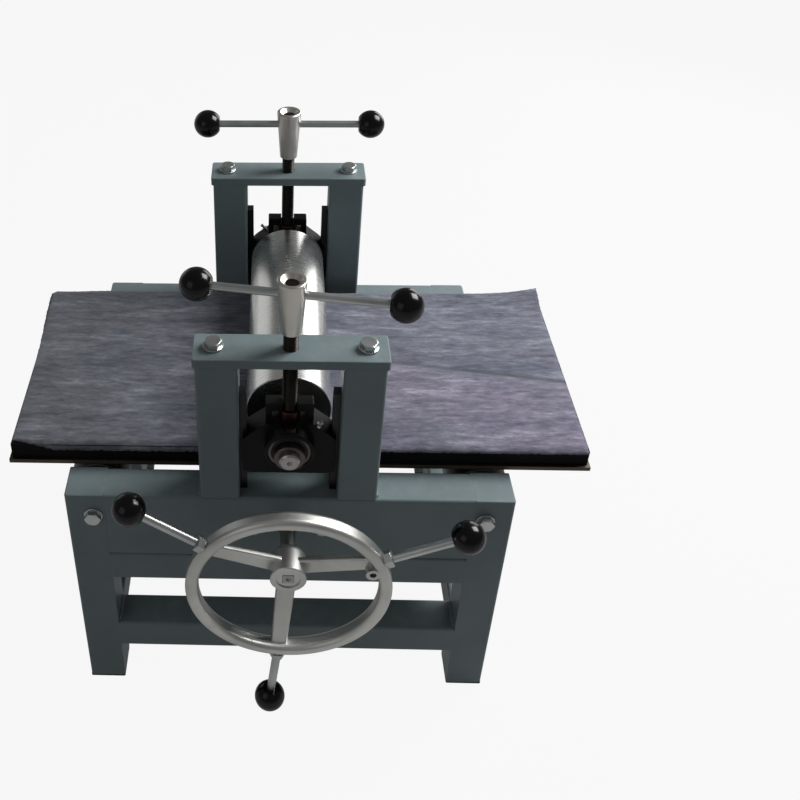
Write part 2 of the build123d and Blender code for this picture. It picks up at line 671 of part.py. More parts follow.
def screw_head(end):
    """Tapered head on a pressure screw, dished at the top and bored for the cross rod."""
    top = HEAD_TOP_DIAMETER / 2
    low = HEAD_BOTTOM_DIAMETER / 2
    bore = SCREW_TOP_DIAMETER / 2 + FIT_GAP
    n = HEAD_LENGTH
    c = SHAFT_CHAMFER
    outline = [
        (bore, 0), (low - c, 0), (low, c), (top, n - c - HEAD_BAND), (top, n - c), (top - c, n),
        (HEAD_DISH_DIAMETER / 2, n), (bore, n - HEAD_DISH_DEPTH),
    ]
    return Pos(0, end * FRAME_Y, HEAD_BOTTOM) * turned(outline) - cross_hole(end)


def cross_rod(end):
    """Loose cross rod that turns a pressure screw."""
    reach = ROD_KNOB_SPACING / 2 - KNOB_FLAT + KNOB_SOCKET
    return rod_place(end) * Pos(0, 0, rod_shift(end) - reach) * rod(ROD_DIAMETER, 2 * reach, SHAFT_CHAMFER)


def knob(bar_diameter):
    """Ball knob about its centre, with its flat and socket on the -Z side."""
    ball = Sphere(KNOB_RADIUS)
    below = Box(KNOB_DIAMETER, KNOB_DIAMETER, KNOB_DIAMETER, align=(Align.CENTER, Align.CENTER, Align.MAX))
    ball -= Pos(0, 0, -KNOB_FLAT) * below
    socket = rod(bar_diameter + 2 * FIT_GAP, KNOB_SOCKET + SHAFT_CHAMFER)
    return ball - Pos(0, 0, -KNOB_FLAT) * socket


def rod_knob(end, way):
    """Knob at one end of a cross rod."""
    flip = Rot(0, 0, 0) if way > 0 else Rot(180, 0, 0)
    distance = rod_shift(end) + way * ROD_KNOB_SPACING / 2
    return rod_place(end) * Pos(0, 0, distance) * flip * knob(ROD_DIAMETER)


def bed_slab(bottom, thickness, inset):
    """One flat layer of the bed."""
    slab = Box(BED_LENGTH - 2 * inset, BED_WIDTH - 2 * inset, thickness, align=RAISED)
    return Pos(BED_SHIFT_X, BED_SHIFT_Y, bottom) * slab


def wheel_place(angle=0.0):
    """Place on the wheel's axis at the hub's front face: +Z to the rear, +X turned up by the angle."""
    return Pos(0, HUB_FACE_Y, LOWER_Z) * Rot(0, -angle, 0) * Rot(-90, 0, 0)


def spoke_section(radius, height, width):
    """Rounded cross section of a spoke, square to it."""
    plane = Plane(origin=(radius, 0, height), x_dir=(0, 1, 0), z_dir=(1, 0, 0))
    return plane * RectangleRounded(width, SPOKE_THICKNESS, SPOKE_ROUNDING)


def spoke():
    """Spoke along +X, which runs forwards from the hub to the rim."""
    root = spoke_section(HUB_DIAMETER / 2 - SPOKE_ROOT_DEPTH, SPOKE_SETBACK, SPOKE_ROOT_WIDTH)
    tip = spoke_section(RIM_MIDDLE, -RIM_AHEAD_OF_HUB, SPOKE_TIP_WIDTH)
    return loft([root, tip], ruled=True)


def handwheel():
    """Cast handwheel: rim, hub, spokes, pads for the handle bars and a boss with a handle hole."""
    section = RectangleRounded(RIM_WIDTH, RIM_DEPTH, RIM_ROUNDING)
    wheel = revolve(Plane.XZ * Pos(RIM_MIDDLE, -RIM_AHEAD_OF_HUB) * section, axis=Axis.Z)
    hub = rod(HUB_DIAMETER, HUB_LENGTH)
    hub = fillet(hub.edges().sort_by(Axis.Z)[-1], HUB_ROUNDING)
    hub = chamfer(hub.edges().sort_by(Axis.Z)[0], SHAFT_CHAMFER)
    wheel += hub
    pad_place = Pos(RIM_MIDDLE, 0, -RIM_AHEAD_OF_HUB) * Rot(0, 90, 0)
    pad = pad_place * rod(BAR_PAD_DIAMETER, BAR_SEAT - RIM_MIDDLE)
    socket_place = Pos(RIM_OUTER - BAR_SOCKET, 0, -RIM_AHEAD_OF_HUB) * Rot(0, 90, 0)
    socket = socket_place * rod(BAR_DIAMETER + 2 * FIT_GAP, 2 * BAR_SOCKET)
    turns = [Rot(0, 0, -360 * i / SPOKE_COUNT) for i in range(SPOKE_COUNT)]
    for turn in turns:
        wheel += turn * (spoke() + pad)
    boss_start = -RIM_AHEAD_OF_HUB - RIM_DEPTH / 2
    boss_place = Rot(0, 0, HANDLE_HOLE_LAG) * Pos(HANDLE_HOLE_RADIUS, 0, boss_start)
    wheel += boss_place * rod(HANDLE_BOSS_DIAMETER, RIM_DEPTH)
    wheel = drilled(wheel, HANDLE_HOLE_DIAMETER, 3 * RIM_DEPTH, [boss_place * Pos(0, 0, -RIM_DEPTH)])
    for turn in turns:
        wheel -= turn * socket
    square = SQUARE_END + 2 * FIT_GAP
    wheel -= Rot(0, 0, SPOKE_ANGLE) * Box(square, square, 4 * HUB_LENGTH)
    wheel = drilled(wheel, HUB_DISH_DIAMETER, HUB_DISH_DEPTH, [Pos(0, 0, 0)])
    wheel -= set_screw_place() * rod(SET_SCREW_DIAMETER + 2 * FIT_GAP, HUB_DIAMETER)
    return wheel_place(SPOKE_ANGLE) * wheel


def set_screw_place():
    """Place of the hub's set screw, from the flat of the shaft outwards, in the wheel's frame."""
    middle = (SPOKE_SETBACK - SPOKE_THICKNESS / 4) / 2
    return Rot(0, 0, SPOKE_ANGLE + 180) * Pos(SQUARE_END / 2 + FIT_GAP, 0, middle) * Rot(0, 90, 0)


def hub_set_screw():
    """Set screw that holds the handwheel on the shaft's square end."""
    length = (HUB_DIAMETER - SQUARE_END) / 2 - SET_SCREW_RECESS
    body = rod(SET_SCREW_DIAMETER, length, EDGE_BREAK)
    return wheel_place(SPOKE_ANGLE) * set_screw_place() * body


def bar_place(index):
    """Place of a shape that is built along +Z and has to lie along a handle bar, from the axis."""
    angle = SPOKE_ANGLE + 360 * index / SPOKE_COUNT
    return Pos(0, HUB_FACE_Y - RIM_AHEAD_OF_HUB, LOWER_Z) * Rot(0, -angle, 0) * Rot(0, 90, 0)


def handle_bar(index):
    """Radial bar, screwed into the rim."""
    start = RIM_OUTER - BAR_SOCKET + ROLLING_GAP
    end = BAR_KNOB_RADIUS - KNOB_FLAT + KNOB_SOCKET
    return bar_place(index) * Pos(0, 0, start) * rod(BAR_DIAMETER, end - start, SHAFT_CHAMFER)


def handle_nut(index):
    """Jam nut of a handle bar, against the pad on the rim."""
    nut = hexagon(BAR_NUT_WIDTH, BAR_NUT_THICKNESS) - rod(BAR_DIAMETER + 2 * FIT_GAP, BAR_NUT_THICKNESS)
    return bar_place(index) * Pos(0, 0, BAR_SEAT) * nut


def handle_knob(index):
    """Knob at the end of a handle bar."""
    return bar_place(index) * Pos(0, 0, BAR_KNOB_RADIUS) * knob(BAR_DIAMETER)


def at_four_corners(make):
    """One piece at each corner of the base."""
    return [make(side, end) for side in SIDES.values() for end in ENDS.values()]


def build_base():
    """Write the welded base."""
    for end_name, end in ENDS.items():
        for side_name, side in SIDES.items():
            save(leg(side, end), f"leg_{end_name}_{side_name}")
        save(top_rail(end), f"{end_name}_top_rail")
        lower_z = TOP_RAIL_BOTTOM - TUBE / 2
        save(Pos(0, end * FRAME_Y, lower_z) * tube_along_x(RAIL_LENGTH, TUBE), f"{end_name}_lower_rail")
        low_z = STRETCHER_BOTTOM + TUBE / 2
        save(Pos(0, end * FRAME_Y, low_z) * tube_along_x(RAIL_LENGTH, TUBE), f"{end_name}_stretcher")
    stretchers = []
    for side_name, side in SIDES.items():
        x = side * (HALF_LENGTH - TUBE / 2)
        save(Pos(x, 0, TOP_RAIL_BOTTOM - TUBE / 2) * tube_along_y(2 * INNER_DEPTH), f"{side_name}_side_rail")
        stretchers.append(Pos(x, 0, STRETCHER_BOTTOM + TUBE / 2) * tube_along_y(2 * INNER_DEPTH))
    save(group(stretchers), "side_stretchers")
    save(group(at_four_corners(foot)), "leg_feet")


def build_end_frames():
    """Write the posts, bridges, guide strips and their fasteners."""
    for end_name, end in ENDS.items():
        for side_name, side in SIDES.items():
            save(post(side, end), f"post_{end_name}_{side_name}")
        save(bridge(end), f"{end_name}_bridge")
    save(group(at_four_corners(guide_strip)), "guide_strips")
    save(group(at_four_corners(post_plate)), "post_top_plates")
    save(group(at_four_corners(bridge_bolt)), "bridge_bolts")
    save(group(at_four_corners(bridge_washer) + at_four_corners(axle_washer)), "bolt_washers")


def build_idlers():
    """Write the idler rollers, their axles and the axle bolts."""
    for side_name, side in SIDES.items():
        save(idler_roller(side), f"{side_name}_idler_roller")
    save(group(idler_axle(side) for side in SIDES.values()), "idler_axles")
    save(group(at_four_corners(axle_bolt)), "axle_bolts")


def build_lower_roller():
    """Write the driven roller, its shaft and its bearings."""
    save(lower_roller(), "lower_roller")
    save(drive_shaft(), "drive_shaft")
    save(group(flange_housing(end) for end in ENDS.values()), "flange_housings")
    save(group(lower_outer_ring(end) for end in ENDS.values()), "lower_bearing_outer_rings")
    save(group(lower_inner_ring(end) for end in ENDS.values()), "lower_bearing_inner_rings")
    save(group(at_four_corners(flange_bolt)), "flange_bolts")
    save(group(at_four_corners(flange_nut)), "flange_nuts")


def build_upper_roller():
    """Write the pressing roller, its shaft, its bearings and its sliding housings."""
    save(upper_roller(), "upper_roller")
    save(upper_shaft(), "upper_shaft")
    for end_name, end in ENDS.items():
        save(bearing_housing(end), f"{end_name}_bearing_housing")
    save(group(upper_outer_ring(end) for end in ENDS.values()), "upper_bearing_outer_rings")
    save(group(upper_inner_ring(end) for end in ENDS.values()), "upper_bearing_inner_rings")
    save(group(grease_nipple(end) for end in ENDS.values()), "grease_nipples")


def build_screws():
    """Write the pressure screws with their buttons, heads, rods and knobs."""
    for end_name, end in ENDS.items():
        save(pressure_screw(end), f"{end_name}_screw")
        save(screw_button(end), f"{end_name}_screw_button")
        save(screw_head(end), f"{end_name}_screw_head")
        save(cross_rod(end), f"{end_name}_cross_rod")
        save(group(rod_knob(end, way) for way in (-1, 1)), f"{end_name}_rod_knobs")


def build_bed():
    """Write the three layers of the bed."""
    save(bed_slab(BED_BOTTOM, PLATE_THICKNESS, 0), "bed_plate")
    save(bed_slab(BED_BOTTOM + PLATE_THICKNESS, BOARD_THICKNESS, BOARD_INSET), "bed_board")
    save(bed_slab(BED_TOP - FELT_THICKNESS, FELT_THICKNESS, FELT_INSET), "felt_blanket")


def build_handwheel():
    """Write the handwheel with its handle bars."""
    save(handwheel(), "handwheel")
    save(hub_set_screw(), "hub_set_screw")
    count = range(SPOKE_COUNT)
    save(group(handle_bar(i) for i in count), "handle_bars")
    save(group(handle_nut(i) for i in count), "handle_nuts")
    save(group(handle_knob(i) for i in count), "handle_knobs")


os.makedirs("parts", exist_ok=True)
build_base()
build_end_frames()
build_idlers()
build_lower_roller()
build_upper_roller()
build_screws()
build_bed()
build_handwheel()
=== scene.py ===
"""Bench roller press: detailed pieces, finishes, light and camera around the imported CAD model.

Lengths in this file are in metres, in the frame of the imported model: the origin is on the floor under
the middle of the machine, +X runs along the bed to the right, +Y to the rear and +Z up.
"""
import json

import bpy
import numpy as np
from bpy.props import FloatProperty, FloatVectorProperty, PointerProperty
from mathutils import Matrix, Vector


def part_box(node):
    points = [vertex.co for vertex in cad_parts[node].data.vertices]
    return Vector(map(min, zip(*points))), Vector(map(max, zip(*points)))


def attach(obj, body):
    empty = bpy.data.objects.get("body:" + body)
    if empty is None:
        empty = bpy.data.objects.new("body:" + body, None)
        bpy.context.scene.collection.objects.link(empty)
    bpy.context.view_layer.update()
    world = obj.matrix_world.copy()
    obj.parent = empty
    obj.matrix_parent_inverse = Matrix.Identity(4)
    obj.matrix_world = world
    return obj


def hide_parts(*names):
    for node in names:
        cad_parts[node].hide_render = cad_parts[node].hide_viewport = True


bl_info = {
    "name": "Bench Roller Press",
    "version": (1, 0, 0),
    "blender": (4, 5, 0),
    "location": "3D View > Sidebar > Press",
    "description": "Builds the visible pieces and finishes of a hand-cranked roller press",
    "category": "Add Mesh",
}

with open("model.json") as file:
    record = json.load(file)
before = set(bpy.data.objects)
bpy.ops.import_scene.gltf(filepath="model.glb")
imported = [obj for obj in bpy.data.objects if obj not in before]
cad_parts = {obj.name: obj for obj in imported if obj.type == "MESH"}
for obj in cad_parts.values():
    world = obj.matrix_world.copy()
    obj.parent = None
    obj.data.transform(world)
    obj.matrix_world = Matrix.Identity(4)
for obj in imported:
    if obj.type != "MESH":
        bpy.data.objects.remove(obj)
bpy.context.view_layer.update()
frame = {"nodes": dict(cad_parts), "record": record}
MM = 0.001
TAU = 2 * np.pi

# Brightness of the white that the camera sees in place of the floor and the surroundings
WHITE_SHARE = 0.92

# Words in the names of the CAD nodes
ENDS = ("front", "rear")
SIDES = {"left": -1, "right": 1}

# Line of the felt's crease: a place on it, and its fall in Y for each length in X
CREASE_X, CREASE_Y, CREASE_SLOPE = 0.1335, 0.035, 0.167

# Colours of what a user would not change
DUST = (0.25, 0.26, 0.25)
WORN_PAINT = (0.30, 0.33, 0.33)
WORN_IRON = (0.06, 0.057, 0.05)
RUBBER = (0.012, 0.012, 0.012)
OXIDE = (0.30, 0.28, 0.25)
STRIP_STEEL = (0.045, 0.046, 0.045)
RAW_STEEL = (0.36, 0.35, 0.34)
SHAFT_STEEL = (0.40, 0.385, 0.37)
# Dark rolled steel of the idler tubes, made darker still as painted shade for the slot beside the bed
TUBE_STEEL_AND_SHADE = (0.060, 0.058, 0.055)
RING_STEEL = (0.115, 0.10, 0.095)
BRONZE = (0.085, 0.045, 0.034)
NIPPLE_ZINC = (0.45, 0.45, 0.43)
THREAD_STEEL = (0.040, 0.036, 0.033)
HEAD_STEEL = (0.60, 0.575, 0.53)
BED_STEEL = (0.105, 0.082, 0.064)

# Stretches of the noise that makes machining marks: along a small number, the marks are long
EVEN = (1.0, 1.0, 1.0)
AROUND_Y = (0.02, 1.0, 0.02)
AROUND_Z = (0.02, 0.02, 1.0)
METAL_EDGE = 0.0004


# ---------------------------------------------------------------- sizes and colours a user would change


def length(name, text, value):
    """Property for a length in metres."""
    return FloatProperty(name=name, description=text, default=value, unit="LENGTH", precision=5)


def colour(name, text, value):
    """Property for a linear colour."""
    kind = {"subtype": "COLOR", "size": 3, "min": 0, "max": 1}
    return FloatVectorProperty(name=name, description=text, default=value, **kind)


def power(name, text, value):
    """Property for a lamp's power."""
    return FloatProperty(name=name, description=text, default=value, min=0, unit="POWER")


class PressSizes(bpy.types.PropertyGroup):
    """Sizes of the detailed pieces."""

    thread_pitch: length("Thread pitch", "Rise of a pressure screw for each turn", 2.5 * MM)
    thread_depth: length("Thread depth", "Depth of a pressure screw's thread", 1.45 * MM)
    weld_leg: length("Weld leg", "Size of a weld bead's leg", 3.5 * MM)
    seal_sink: length("Seal sink", "How far a bearing seal lies inside the outer ring's face", 0.9 * MM)
    felt_wave: length("Felt wave", "Height of the felt's unevenness near its ends", 1.6 * MM)
    felt_curl: length("Felt curl", "How far the felt's right rear corner stands up", 12.0 * MM)
    felt_hang: length("Felt hang", "How far the felt's front edge hangs over the board", 4.0 * MM)


class PressColours(bpy.types.PropertyGroup):
    """Main colours of the finishes."""

    paint: colour("Paint", "Satin green-grey paint of the frame", (0.150, 0.193, 0.203))
    black: colour("Black", "Black paint of the cast housings", (0.0045, 0.005, 0.0045))
    aluminium: colour("Aluminium", "Cast handwheel", (0.56, 0.56, 0.535))
    polished: colour("Polished steel", "Turned and polished rollers", (0.72, 0.72, 0.70))
    zinc: colour("Zinc", "Plated bolts, nuts, washers and bars", (0.50, 0.52, 0.51))
    felt: colour("Felt", "Pressed wool felt", (0.100, 0.108, 0.138))
    felt_lilac: colour("Felt, lilac", "Second shade of the felt", (0.140, 0.128, 0.172))
    floor: colour("Floor", "Floor under the machine", (0.26, 0.26, 0.26))


class PressStage(bpy.types.PropertyGroup):
    """Light of the stage."""

    key: power("Key light", "Power of the large lamp at the right", 62.0)
    fill: power("Fill light", "Power of the lamp at the left", 3.0)
    world: FloatProperty(name="World", description="Strength of the surrounding light", default=0.17, min=0)
    window: power("Window", "Power of the window behind at the right", 13.0)
    side_window: power("Side window", "Power of the window behind at the left", 2.2)


# ---------------------------------------------------------------- surfaces


def lattice(points, close_u=False, close_v=False):
    """Quads of a surface given as a (u, v, 3) array of points; each direction may be closed on itself."""
    nu, nv = points.shape[:2]
    i, j = np.meshgrid(np.arange(nu - (not close_u)), np.arange(nv - (not close_v)), indexing="ij")
    i2, j2 = (i + 1) % nu, (j + 1) % nv
    quads = np.stack([i * nv + j, i2 * nv + j, i2 * nv + j2, i * nv + j2], axis=-1)
    return points.reshape(-1, 3), quads.reshape(-1, 4)


def spun(profile, centre, axis, segments=64):
    """A (radius, height) profile turned about a level axis: P = C + h a + r (cos t u + sin t v)."""
    a = np.asarray(axis, float)
    u = np.cross(a, (0.0, 0.0, 1.0))
    v = np.cross(a, u)
    r, h = np.asarray(profile, float).T
    t = np.arange(segments) * TAU / segments
    around = np.cos(t)[:, None] * u + np.sin(t)[:, None] * v
    points = np.asarray(centre) + h[None, :, None] * a + r[None, :, None] * around[:, None, :]
    return lattice(points[::-1], close_u=True)


def slab(upper, lower):
    """Closed surface of an upper and a lower (u, v, 3) array of points, joined around their rims."""
    nu, nv = upper.shape[:2]
    points, quads = lattice(upper)
    under, under_quads = lattice(lower)
    count = nu * nv
    ring = np.concatenate([
        np.arange(nu) * nv, (nu - 1) * nv + np.arange(1, nv), np.arange(nu - 2, -1, -1) * nv + nv - 1,
        np.arange(nv - 2, 0, -1),
    ])
    after = np.roll(ring, -1)
    side = np.stack([ring, ring + count, after + count, after], axis=-1)
    return np.concatenate([points, under]), np.concatenate([quads, under_quads[:, ::-1] + count, side])


def smooth_step(s):
    """0 below 0, 1 above 1 and 3 s^2 - 2 s^3 between them."""
    s = np.clip(s, 0.0, 1.0)
    return s * s * (3 - 2 * s)


def waves(s, lengths, seed):
    """Sum of sines of s over the given wavelengths, with seeded phases, between about -1 and 1."""
    phases = np.random.default_rng(seed).uniform(0, TAU, len(lengths))
    return sum(np.sin(s * TAU / n + p) for n, p in zip(lengths, phases)) / len(lengths)


def waves2(x, y, seed):
    """Sum of plane waves over x and y in seeded directions, between about -1 and 1."""
    rng = np.random.default_rng(seed)
    lengths = (0.16, 0.11, 0.07, 0.05)
    total = 0.0
    for n in lengths:
        turn, phase = rng.uniform(0, TAU, 2)
        total = total + np.sin((x * np.cos(turn) + y * np.sin(turn)) * TAU / n + phase)
    return total / len(lengths)


def from_crease(x, y):
    """How far numbers or shader values lie in front of the felt's crease: d = y0 - y - (x - x0) k."""
    return CREASE_Y - y - (x - CREASE_X) * CREASE_SLOPE


def make_piece(name, surfaces, body, finish, replaces=(), angle=40.0):
    """One mesh object from several (points, quads) surfaces, riding on a body, with creases kept sharp."""
    starts = np.cumsum([0] + [len(points) for points, _ in surfaces])
    points = np.concatenate([p for p, _ in surfaces])
    quads = np.concatenate([q + s for (_, q), s in zip(surfaces, starts)])
    mesh = bpy.data.meshes.new(name)
    mesh.from_pydata(points.tolist(), [], quads.tolist())
    mesh.validate()
    mesh.polygons.foreach_set("use_smooth", np.ones(len(mesh.polygons), bool))
    mesh.set_sharp_from_angle(angle=np.radians(angle))
    mesh.materials.append(finish)
    piece = bpy.data.objects.new(name, mesh)
    bpy.context.scene.collection.objects.link(piece)
    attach(piece, body)
    if replaces:
        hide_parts(*replaces)
    return piece


def paint_nodes(finish, *names):
    """Give CAD nodes a finish."""
    for name in names:
        mesh = frame["nodes"][name].data
        if not mesh.materials:
            mesh.materials.append(finish)
        for index in range(len(mesh.materials)):
            mesh.materials[index] = finish


def paint_slot(finish, slot):
    """Give every CAD node with a material slot a finish."""
    parts = frame["record"]["subparts"]
    paint_nodes(finish, *[part["node"] for part in parts if part["material_slot"] == slot])


# ---------------------------------------------------------------- shader expressions


class Value:
    """Output of a node. Python's operators on it add the Math nodes that work the expression out."""

    def __init__(self, finish, socket):
        self.finish, self.socket = finish, socket

    def math(self, operation, *terms):
        """Math node on the given terms."""
        return self.finish.node("ShaderNodeMath", {"operation": operation}, dict(enumerate(terms)))

    def __add__(self, other):
        return self.math("ADD", self, other)

    def __sub__(self, other):
        return self.math("SUBTRACT", self, other)

    def __rsub__(self, other):
        return self.math("SUBTRACT", other, self)

    def __mul__(self, other):
        return self.math("MULTIPLY", self, other)

    def __truediv__(self, other):
        return self.math("DIVIDE", self, other)

    def __abs__(self):
        return self.math("ABSOLUTE", self)

    def smooth(self, low, high):
        """0 below low, 1 above high and a smooth step between them."""
        kind = {"interpolation_type": "SMOOTHSTEP"}
        inputs = {"Value": self, "From Min": low, "From Max": high}
        return self.finish.node("ShaderNodeMapRange", kind, inputs)


class Finish:
    """A procedural material built around one Principled shader."""

    def __init__(self, name, **fixed):
        self.material = bpy.data.materials.new(name)
        self.material.use_nodes = True
        self.tree = self.material.node_tree
        self.shader = self.tree.nodes["Principled BSDF"]
        for socket, value in fixed.items():
            self.put(self.shader.inputs[socket.replace("_", " ")], value)

    def put(self, socket, value):
        """Link a value to a socket, or set the socket."""
        if isinstance(value, Value):
            self.tree.links.new(value.socket, socket)
        elif hasattr(value, "__len__") and len(value) == 3 and socket.type == "RGBA":
            socket.default_value = (*value, 1.0)
        else:
            socket.default_value = value

    def node(self, kind, settings=None, inputs=None, output=0):
        """Add a node: its settings first, then the values or links of its inputs, by name or number."""
        node = self.tree.nodes.new(kind)
        for key, value in (settings or {}).items():
            setattr(node, key, value)
        for key, value in (inputs or {}).items():
            self.put(node.inputs[key], value)
        return Value(self, node.outputs[output])

    def noise(self, scale, stretch=EVEN, detail=4.0, roughness=0.55):
        """Noise between 0 and 1 on the object's own coordinates, which the stretch multiplies."""
        spot = self.node("ShaderNodeTexCoord", output="Object")
        place = self.node("ShaderNodeMapping", inputs={"Vector": spot, "Scale": stretch})
        inputs = {"Vector": place, "Scale": scale, "Detail": detail, "Roughness": roughness}
        return self.node("ShaderNodeTexNoise", None, inputs)

    def axis(self, letter):
        """One object coordinate."""
        spot = self.node("ShaderNodeTexCoord", output="Object")
        return self.node("ShaderNodeSeparateXYZ", inputs={"Vector": spot}, output=letter)

    def up(self):
        """How far the true surface faces upwards, from -1 to 1."""
        normal = self.node("ShaderNodeNewGeometry", output="True Normal")
        return self.node("ShaderNodeSeparateXYZ", inputs={"Vector": normal}, output="Z")

    def mix(self, share, first, second, blend="MIX"):
        """Two colours mixed by a share from 0 to 1."""
        kind = {"data_type": "RGBA", "blend_type": blend}
        return self.node("ShaderNodeMix", kind, {0: share, 6: first, 7: second}, output=2)

    def tinted(self, share, tone, factors):
        """A colour that is multiplied by the factors where the share is 1."""
        return self.mix(share, tone, self.mix(1.0, tone, factors, "MULTIPLY"))

    def rounded(self, radius):
        """Normal with every edge rounded by the radius."""
        return self.node("ShaderNodeBevel", {"samples": 6}, {"Radius": radius})

    def edge(self, radius):
        """1 near a sharp edge and 0 away from it."""
        round_normal = self.rounded(radius)
        true_normal = self.node("ShaderNodeNewGeometry", output="Normal")
        kind = {"operation": "DOT_PRODUCT"}
        same = self.node("ShaderNodeVectorMath", kind, {0: round_normal, 1: true_normal}, output="Value")
        return (1 - same).smooth(0.01, 0.12)

    def finished(self, radius=0.0, height=None, strength=0.0, distance=0.0, **varying):
        """Link what varies over the surface, add bump over rounded edges, and return the material."""
        for socket, value in varying.items():
            self.put(self.shader.inputs[socket.replace("_", " ")], value)
        if height is not None:
            inputs = {"Height": height, "Strength": strength, "Distance": distance}
            if radius:
                inputs["Normal"] = self.rounded(radius)
            self.put(self.shader.inputs["Normal"], self.node("ShaderNodeBump", None, inputs))
        return self.material


def shade(base, factor):
    """A colour made lighter or darker."""
    return tuple(min(1.0, c * factor) for c in base)


def brushed(name, base, roughness, stretch, contrast=0.12, scale=1.0, warm=0.0):
    """Machined metal: fine marks along the directions that the stretch leaves long."""
    metal = Finish(name, Metallic=1.0)
    marks = metal.noise(260.0 * scale, stretch, detail=6.0, roughness=0.7)
    clouds = metal.noise(14.0, detail=3.0)
    tone = metal.mix(clouds.smooth(0.35, 0.7), shade(base, 1 - contrast), shade(base, 1 + contrast / 2))
    stain = metal.noise(34.0, detail=5.0).smooth(0.55, 0.8) * warm
    brown = (base[0] * 0.8, base[1] * 0.62, base[2] * 0.45)
    rough = marks * 0.16 + clouds * 0.10 + (roughness - 0.13)
    tone = metal.mix(stain, tone, brown)
    return metal.finished(METAL_EDGE, marks, 0.10, 0.00004, Base_Color=tone, Roughness=rough)


# ---------------------------------------------------------------- operators


class PressOperator:
    """What the operators of this file share."""

    bl_options = {"REGISTER", "UNDO"}

    @property
    def sizes(self):
        return bpy.context.scene.press_sizes

    @property
    def colours(self):
        return bpy.context.scene.press_colours

    def execute(self, context):
        self.build()
        return {"FINISHED"}


class PRESS_OT_frame(PressOperator, bpy.types.Operator):
    """Paint the welded frame and lay its weld beads."""

    bl_idname = "press.frame"
    bl_label = "Frame"

    def build(self):
        base = tuple(self.colours.paint)
        paint = Finish("frame_paint", Specular_IOR_Level=0.35)
        clouds = paint.noise(7.0, detail=5.0)
        fine = paint.noise(55.0, detail=6.0, roughness=0.65)
        tone = paint.mix(clouds.smooth(0.3, 0.7), shade(base, 0.90), shade(base, 1.08))
        dust = paint.up().smooth(0.6, 0.95) * fine.smooth(0.45, 0.75) * 0.30
        tone = paint.mix(dust, tone, DUST)
        wear = paint.edge(0.0012) * paint.noise(90.0, detail=5.0).smooth(0.48, 0.62) * 0.55
        tone = paint.mix(wear, tone, WORN_PAINT)
        peel = paint.noise(420.0, detail=2.0)
        rough = fine * 0.16 + 0.36
        finish = paint.finished(0.0012, peel, 0.08, 0.0001, Base_Color=tone, Roughness=rough)
        paint_slot(finish, "frame_paint")
        self.welds(finish)
        feet = Finish("foot_plastic", Base_Color=RUBBER)
        grain = feet.noise(900.0)
        feet_finish = feet.finished(0.0008, grain, 0.2, 0.0001, Roughness=grain * 0.2 + 0.55)
        paint_nodes(feet_finish, "leg_feet")

    def bead(self, start, end, first, second, leg):
        """Fillet bead: P = S + s (E - S) + r(s) (cos t a + sin t b), t from 0 to 90 degrees."""
        spacing, height, root = 0.0009, 0.10, 0.15
        start, end = np.array(start), np.array(end)
        steps = int(np.linalg.norm(end - start) / spacing)
        s = np.linspace(0.0, 1.0, steps)
        t = np.linspace(0.0, np.pi / 2, 7)
        ripple = 1 + height * np.abs(np.sin(s * steps * 0.5)) - height / 2
        taper = np.minimum(1.0, np.minimum(s, 1 - s) * steps / 4 + 0.05)
        r = leg * ripple * taper
        arc = np.cos(t)[:, None] * np.array(first) + np.sin(t)[:, None] * np.array(second)
        arc = np.concatenate([arc, [-root * (np.array(first) + np.array(second))]])
        line = start + s[:, None] * (end - start)
        points = line[:, None, :] + r[:, None, None] * arc[None]
        flip = np.dot(np.cross(first, second), end - start) > 0
        return lattice(points[::-1] if flip else points, close_v=True)

    def welds(self, finish):
        """Beads at the foot of each post and where rails and stretchers meet the legs."""
        size = self.sizes.weld_leg
        inset = 0.003
        beads = []
        for end in ENDS:
            for side, way in SIDES.items():
                low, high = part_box(f"post_{end}_{side}")
                x = low.x if way < 0 else high.x
                start, stop = (x, low.y + inset, low.z), (x, high.y - inset, low.z)
                beads.append(self.bead(start, stop, (way, 0, 0), (0, 0, 1), size))
                leg_low, leg_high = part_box(f"leg_{end}_{side}")
                x = leg_high.x if way < 0 else leg_low.x
                for rail, faces in (("lower_rail", (-1,)), ("stretcher", (-1, 1))):
                    low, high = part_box(f"{end}_{rail}")
                    for up in faces:
                        z = low.z if up < 0 else high.z
                        start, stop = (x, low.y + inset, z), (x, high.y - inset, z)
                        beads.append(self.bead(start, stop, (-way, 0, 0), (0, 0, up), size))
        make_piece("frame_welds", beads, "frame", finish, angle=80.0)


class PRESS_OT_fasteners(PressOperator, bpy.types.Operator):
    """Finish bolts, nuts, washers, bars and guide strips."""

    bl_idname = "press.fasteners"
    bl_label = "Fasteners and bars"

    def build(self):
        base = tuple(self.colours.zinc)
        zinc = brushed("zinc_plate", base, 0.34, EVEN, contrast=0.16, warm=0.25)
        paint_slot(zinc, "zinc_steel")
        strips = brushed("oiled_strip", STRIP_STEEL, 0.42, (1.0, 1.0, 0.02), warm=0.2)
        paint_nodes(strips, "guide_strips")
        raw = brushed("raw_steel", RAW_STEEL, 0.42, (1.0, 0.05, 1.0), warm=0.4)
        paint_slot(raw, "raw_steel")


class PRESS_OT_rollers(PressOperator, bpy.types.Operator):
    """Finish the press rollers, the idlers and the shafts."""

    bl_idname = "press.rollers"
    bl_label = "Rollers and shafts"

    def build(self):
        base = tuple(self.colours.polished)
        polished = brushed("polished_roller", base, 0.27, AROUND_Y, contrast=0.06, warm=0.10)
        paint_slot(polished, "roller_steel")
        ground = brushed("ground_shaft", SHAFT_STEEL, 0.33, AROUND_Y, contrast=0.10, warm=0.30)
        paint_slot(ground, "shaft_steel")
        # Painted shade: the idlers' dark colour also stands in for the shade of the slot they show through.
        rolled_and_shaded = brushed("rolled_tube_and_shade", TUBE_STEEL_AND_SHADE, 0.48, AROUND_Y, contrast=0.15, warm=0.40)
        paint_nodes(rolled_and_shaded, "left_idler_roller", "right_idler_roller")


